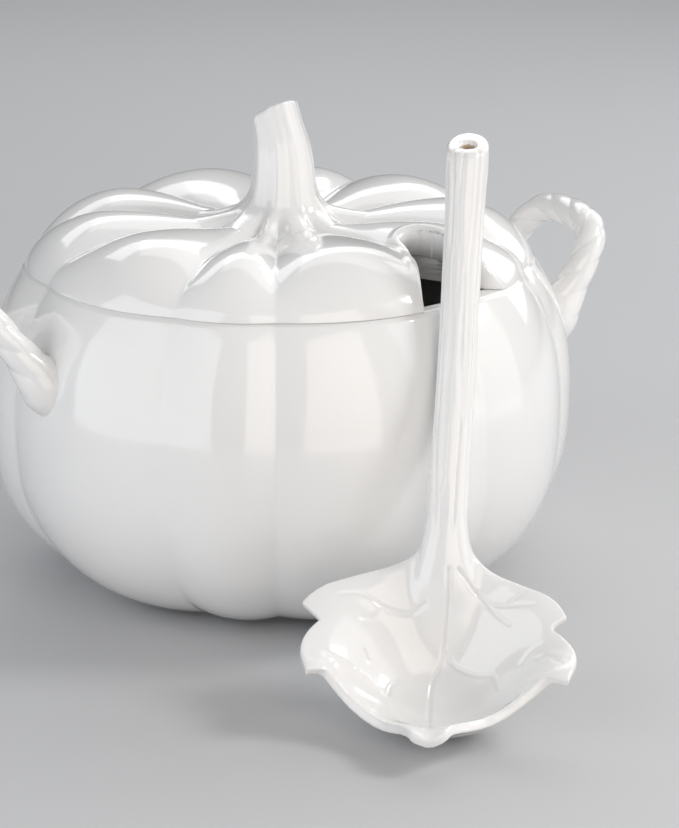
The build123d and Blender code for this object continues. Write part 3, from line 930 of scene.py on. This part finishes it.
def bare_clay():
    """Unglazed cream earthenware with fine grain, inside the vent hole and under the foot."""
    material, tree, add = node_material("bare_clay")
    link = tree.links.new
    place = add("ShaderNodeTexCoord")
    grain = add("ShaderNodeTexNoise", Scale=600.0, Detail=6.0, Roughness=0.7)
    link(place.outputs["Object"], grain.inputs["Vector"])
    tint = add("ShaderNodeValToRGB")
    tint.color_ramp.elements[0].color = (0.46, 0.33, 0.22, 1)
    tint.color_ramp.elements[1].color = (0.70, 0.60, 0.47, 1)
    link(grain.outputs["Fac"], tint.inputs["Fac"])
    rough = add("ShaderNodeMapRange")
    rough.inputs["To Min"].default_value = 0.75
    rough.inputs["To Max"].default_value = 0.95
    link(grain.outputs["Fac"], rough.inputs["Value"])
    bump = add("ShaderNodeBump", Strength=0.4, Distance=0.0004)
    link(grain.outputs["Fac"], bump.inputs["Height"])
    shader = add("ShaderNodeBsdfPrincipled")
    link(tint.outputs["Color"], shader.inputs["Base Color"])
    link(rough.outputs["Result"], shader.inputs["Roughness"])
    link(bump.outputs["Normal"], shader.inputs["Normal"])
    out = add("ShaderNodeOutputMaterial")
    link(shader.outputs["BSDF"], out.inputs["Surface"])
    return material


def paint(piece, main, other=None, where=None):
    """Gives a piece its main material, and another on the faces whose middle passes the test."""
    piece.data.materials.clear()
    piece.data.materials.append(main)
    if other:
        piece.data.materials.append(other)
        for face in piece.data.polygons:
            face.material_index = 1 if where(face) else 0


# --- pieces -----------------------------------------------------------------------------------
FOOT_CLAY_HEIGHT = 0.8 * MM
VENT_CLAY_RADIUS, VENT_CLAY_FROM, VENT_CLAY_TO = 4.4 * MM, 20.0 * MM, 1.6 * MM

white_bowl = glaze("glaze_bowl", 9.0, 0.0)
white_handle = glaze("glaze_handle", 14.0, 1.3)
white_lid = glaze("glaze_lid", 10.0, 2.1)
white_ladle = glaze("glaze_ladle", 16.0, 3.7)
clay = bare_clay()

bowl = make_bowl()
paint(bowl, white_bowl, clay, lambda face: face.center.z < FOOT_CLAY_HEIGHT)
lid = make_lid()
paint(lid, white_lid)
stem = make_stem()
paint(stem, white_lid)
loops = {side: make_loop(side) for side in (-1, 1)}
for loop in loops.values():
    paint(loop, white_handle)
ladle, vent_at, vent_way, ladle_place = make_ladle()


def in_vent(face):
    """Whether a face lies inside the vent hole, below its glazed edge."""
    offset = face.center - vent_at
    height = offset.dot(vent_way)
    aside = (offset - vent_way * height).length
    return aside < VENT_CLAY_RADIUS and -VENT_CLAY_FROM < height < -VENT_CLAY_TO


paint(ladle, white_ladle, clay, in_vent)
joint_start, joint_axis = ladle_axis()
joint_at = ladle_place @ Vector((joint_start + joint_axis * JOINT_AT) * MM)
joint_way = (ladle_place.to_3x3() @ Vector(joint_axis)).normalized()
handle, scoop = split_piece(ladle, joint_at, joint_way, "ladle_handle_glazed", "ladle_scoop_glazed")

for piece, node, body, slot in (
        (bowl, "bowl", "tureen", "bowl_glaze"),
        (loops[-1], "handle_left", "tureen", "handle_glaze"),
        (loops[1], "handle_right", "tureen", "handle_glaze"),
        (lid, "lid", "lid_set", "lid_glaze"),
        (stem, "lid_stem", "lid_set", "lid_glaze"),
        (scoop, "ladle_scoop", "ladle", "ladle_glaze"),
        (handle, "ladle_handle", "ladle", "ladle_glaze")):
    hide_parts(node)
    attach(piece, body)


# --- studio -----------------------------------------------------------------------------------
CAMERA_HEADING, CAMERA_REACH, CAMERA_HEIGHT = -24.0, 1.200, 0.477
CAMERA_TURN, CAMERA_PITCH = 1.46, 18.28
SENSOR, LENS = 36.0, 105.73913


def make_camera():
    """Camera at the photograph's viewing angle."""
    place = around(CAMERA_REACH, CAMERA_HEADING, CAMERA_HEIGHT)
    data = bpy.data.cameras.new("camera")
    data.sensor_width = SENSOR
    data.lens = LENS
    data.clip_end = 50.0
    camera = bpy.data.objects.new("camera", data)
    camera.location = place.tolist()
    turn = math.radians(CAMERA_HEADING - CAMERA_TURN)
    camera.rotation_euler = (math.radians(90 - CAMERA_PITCH), 0.0, turn)
    bpy.context.scene.collection.objects.link(camera)
    bpy.context.scene.camera = camera


PAPER_DARK, PAPER_LIGHT = (0.555, 0.56, 0.57), (0.575, 0.58, 0.59)


def matte(name, low, high, roughness):
    """Plain studio paper: one grey with very faint mottling."""
    material, tree, add = node_material(name)
    link = tree.links.new
    place = add("ShaderNodeTexCoord")
    noise = add("ShaderNodeTexNoise", Scale=3.0, Detail=5.0)
    link(place.outputs["Object"], noise.inputs["Vector"])
    tint = add("ShaderNodeValToRGB")
    tint.color_ramp.elements[0].color = (*low, 1)
    tint.color_ramp.elements[1].color = (*high, 1)
    link(noise.outputs["Fac"], tint.inputs["Fac"])
    shader = add("ShaderNodeBsdfPrincipled", Roughness=roughness)
    link(tint.outputs["Color"], shader.inputs["Base Color"])
    out = add("ShaderNodeOutputMaterial")
    link(shader.outputs["BSDF"], out.inputs["Surface"])
    return material


def make_floor():
    """One flat pale sheet whose edge lies far from the tureen."""
    reach = 12.0
    corners = [(-reach, -reach, 0), (reach, -reach, 0), (reach, reach, 0), (-reach, reach, 0)]
    mesh = bpy.data.meshes.new("studio_floor")
    mesh.from_pydata(corners, [], [(0, 1, 2, 3)])
    floor = bpy.data.objects.new("studio_floor", mesh)
    bpy.context.scene.collection.objects.link(floor)
    mesh.materials.append(matte("studio_paper", PAPER_DARK, PAPER_LIGHT, 0.6))


SOFTBOXES = [
    # name, heading from the camera's side, reach, height, width, tall, aim height, power, colour
    ("key_right", 84.0, 1.5, 1.25, 0.5, 0.5, 0.05, 12.0, (1.0, 0.99, 0.975)),
    ("top_back", 165.0, 1.1, 1.5, 1.6, 0.9, 0.1, 4.5, (1.0, 1.0, 1.0)),
    ("rim_right", 130.0, 1.5, 0.9, 0.8, 1.2, 0.1, 4.0, (1.0, 1.0, 1.0)),
    ("panel_cool", -52.0, 0.85, 0.5, 0.85, 1.0, 0.5, 3.7, (0.93, 0.96, 1.0)),
    ("panel_warm", 16.0, 0.85, 0.5, 0.55, 1.0, 0.5, 2.4, (1.0, 0.92, 0.84)),
    ("panel_right", 72.0, 0.85, 0.5, 0.6, 1.0, 0.5, 1.6, (0.98, 0.98, 1.0)),
    ("backdrop", 180.0, 1.75, 1.5, 2.4, 0.9, None, 11.0, (0.98, 0.99, 1.0)),
]


def area_light(name, heading, reach, height, width, tall, aim, power, colour):
    """Softbox that faces the tureen's axis at the aim height, or straight down where aim is None. The
    camera sees only what it lights."""
    data = bpy.data.lights.new(name, "AREA")
    data.shape, data.size, data.size_y = "RECTANGLE", width, tall
    data.energy, data.color = power, colour
    lamp = bpy.data.objects.new(name, data)
    place = Vector(around(reach, CAMERA_HEADING + heading, height).tolist())
    lamp.location = place
    if aim is not None:
        lamp.rotation_euler = (Vector((0, 0, aim)) - place).to_track_quat("-Z", "Y").to_euler()
    lamp.visible_camera = False
    bpy.context.scene.collection.objects.link(lamp)


def make_world():
    """Even, faintly cool light from all round."""
    world = bpy.data.worlds.new("studio")
    world.use_nodes = True
    background = world.node_tree.nodes["Background"]
    background.inputs["Color"].default_value = (0.98, 0.985, 1.0, 1)
    background.inputs["Strength"].default_value = 0.28
    bpy.context.scene.world = world


make_camera()
make_floor()
make_world()
for box in SOFTBOXES:
    area_light(*box)
bpy.context.scene.view_settings.view_transform = "Standard"
